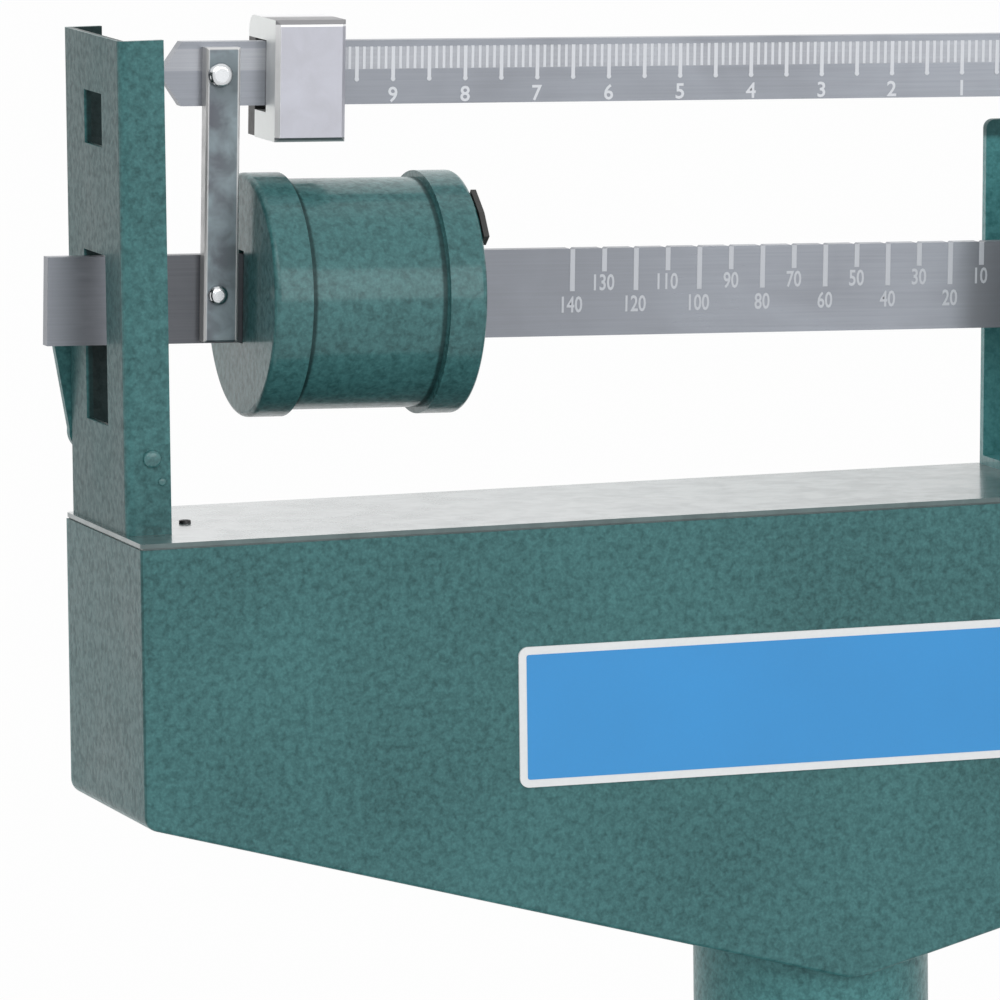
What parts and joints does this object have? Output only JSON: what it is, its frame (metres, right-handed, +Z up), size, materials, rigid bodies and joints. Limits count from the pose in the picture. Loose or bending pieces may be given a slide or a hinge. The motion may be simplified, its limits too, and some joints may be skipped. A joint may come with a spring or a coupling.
{
  "type": "platform scale",
  "caption": "Mechanical column platform scale: sheet-metal beam head with drum and block poises on a round column, over a lever base with a flat steel platform.",
  "frame": {"origin": "on the floor under the middle of the scale's overall width and length", "axes": "+Z up, +X to the right along the beam, -Y to the front, where the user stands and the platform is"},
  "size_m": [0.4986, 0.661, 1.1131],
  "materials": {
    "green_enamel": "hammered enamel, glossy",
    "bar_steel": "ground and lightly polished",
    "blued_steel": "blued",
    "black_steel": "satin black",
    "bright_steel": "bright plated",
    "poise_alloy": "satin",
    "brass_parts": "turned",
    "plain_steel": "turned",
    "lever_iron": "painted casting",
    "foot_rubber": "moulded",
    "label_blue": "printed plate, left blank"
  },
  "bodies": {
    "stand": {"casing": "green_enamel", "casing_lid": "green_enamel", "casing_rear_cover": "green_enamel", "column": "green_enamel", "column_flange": "green_enamel", "column_saddle": "plain_steel", "cover_posts": "plain_steel", "cover_screws": "bright_steel", "flange_bolts": "bright_steel", "foot_front_left": "foot_rubber", "foot_front_right": "foot_rubber", "foot_rear_left": "foot_rubber", "foot_rear_right": "foot_rubber", "fulcrum_bearing_front": "brass_parts", "fulcrum_bearing_rear": "brass_parts", "guide_upright": "green_enamel", "label_plate": "label_blue", "lock_stud": "bright_steel", "pedestal_front_left": "lever_iron", "pedestal_front_right": "lever_iron", "pedestal_rear_left": "lever_iron", "pedestal_rear_right": "lever_iron", "rail_front": "green_enamel", "rail_left": "green_enamel", "rail_rear": "green_enamel", "rail_right": "green_enamel", "rear_deck": "green_enamel", "stand_front": "green_enamel", "stand_rear": "green_enamel", "transfer_bracket": "plain_steel", "upright_screws": "bright_steel"},
    "beam": {"main_bar": "bar_steel", "fine_bar": "bar_steel", "link_left": "blued_steel", "link_right": "blued_steel", "link_rivets": "bright_steel", "fulcrum_hub": "plain_steel", "fulcrum_pin": "plain_steel", "load_pin": "plain_steel", "balance_rod": "bright_steel"},
    "main_poise": {"drum_body": "green_enamel", "drum_cap_left": "green_enamel", "drum_cap_right": "green_enamel"},
    "poise_pawl": {"drum_pawl": "black_steel"},
    "fine_poise": {"block_poise": "poise_alloy", "block_back": "black_steel"},
    "balance_poise": {"balance_weight": "brass_parts"},
    "lock_lever": {"beam_lock": "green_enamel"},
    "load_link": {"beam_link": "plain_steel"},
    "upper_lever": {"transfer_lever": "plain_steel"},
    "rod": {"pull_rod": "plain_steel"},
    "long_lever": {"long_lever_arms": "lever_iron", "long_lever_nose": "lever_iron", "long_lever_pins": "plain_steel"},
    "short_lever": {"short_lever_arms": "lever_iron", "short_lever_nose": "lever_iron", "short_lever_pins": "plain_steel"},
    "shackle": {"lever_shackle": "plain_steel"},
    "platform": {"platform_plate": "green_enamel", "platform_posts": "lever_iron"}
  },
  "joints": [
    {"name": "beam_swing", "type": "hinge", "parent": "stand", "child": "beam", "pos_m": [0.096, 0.2726, 1.0163], "axis": [0, 1, 0], "range_deg": [-3.9, 0]},
    {"name": "main_poise_slide", "type": "slide", "parent": "beam", "child": "main_poise", "axis": [0.9996, 0, -0.0279], "range_m": [-0.0025, 0.1898]},
    {"name": "pawl_press", "type": "hinge", "parent": "main_poise", "child": "poise_pawl", "pos_m": [-0.11361, 0.2576, 1.04401], "axis": [0.9996, 0, -0.0279], "range_deg": [0, 7], "stiffness_Nm_per_rad": 0.05, "springref_deg": -5.73},
    {"name": "fine_poise_slide", "type": "slide", "parent": "beam", "child": "fine_poise", "axis": [0.9996, 0, -0.0279], "range_m": [-0.0092, 0.2369]},
    {"name": "balance_slide", "type": "slide", "parent": "beam", "child": "balance_poise", "axis": [0.9996, 0, -0.0279], "range_m": [-0.025, 0.03]},
    {"name": "lock_turn", "type": "hinge", "parent": "stand", "child": "lock_lever", "pos_m": [-0.228, 0.2965, 0.981], "axis": [0, -1, 0], "range_deg": [0, 60]},
    {"name": "load_link_slide", "type": "slide", "parent": "stand", "child": "load_link", "axis": [0, 0, 1], "range_m": [0, 0.00139]},
    {"name": "upper_lever_turn", "type": "hinge", "parent": "stand", "child": "upper_lever", "pos_m": [0.212, 0.2726, 0.885], "axis": [0, 1, 0], "range_deg": [0, 0.82868]},
    {"name": "rod_slide", "type": "slide", "parent": "stand", "child": "rod", "axis": [0, 0, 1], "range_m": [0, 0.00307]},
    {"name": "long_lever_turn", "type": "hinge", "parent": "stand", "child": "long_lever", "pos_m": [0, -0.2874, 0.062], "axis": [1, 0, 0], "range_deg": [0, 0.31372]},
    {"name": "short_lever_turn", "type": "hinge", "parent": "stand", "child": "short_lever", "pos_m": [0, 0.2005, 0.04], "axis": [1, 0, 0], "range_deg": [-0.31372, 0]},
    {"name": "shackle_slide", "type": "slide", "parent": "stand", "child": "shackle", "axis": [0, 0, 1], "range_m": [0, 0.00134]},
    {"name": "platform_float", "type": "slide", "parent": "stand", "child": "platform", "axis": [0, 0, 1], "range_m": [0, 0.000192]}
  ],
  "couplings": [
    {"joint": "load_link_slide", "follows": "beam_swing", "m_per_rad": -0.02},
    {"joint": "upper_lever_turn", "follows": "beam_swing", "ratio": -0.20832},
    {"joint": "rod_slide", "follows": "beam_swing", "m_per_rad": -0.044163},
    {"joint": "long_lever_turn", "follows": "beam_swing", "ratio": -0.078863},
    {"joint": "short_lever_turn", "follows": "beam_swing", "ratio": 0.078863},
    {"joint": "shackle_slide", "follows": "beam_swing", "m_per_rad": -0.019238},
    {"joint": "platform_float", "follows": "beam_swing", "m_per_rad": -0.0027602}
  ]
}
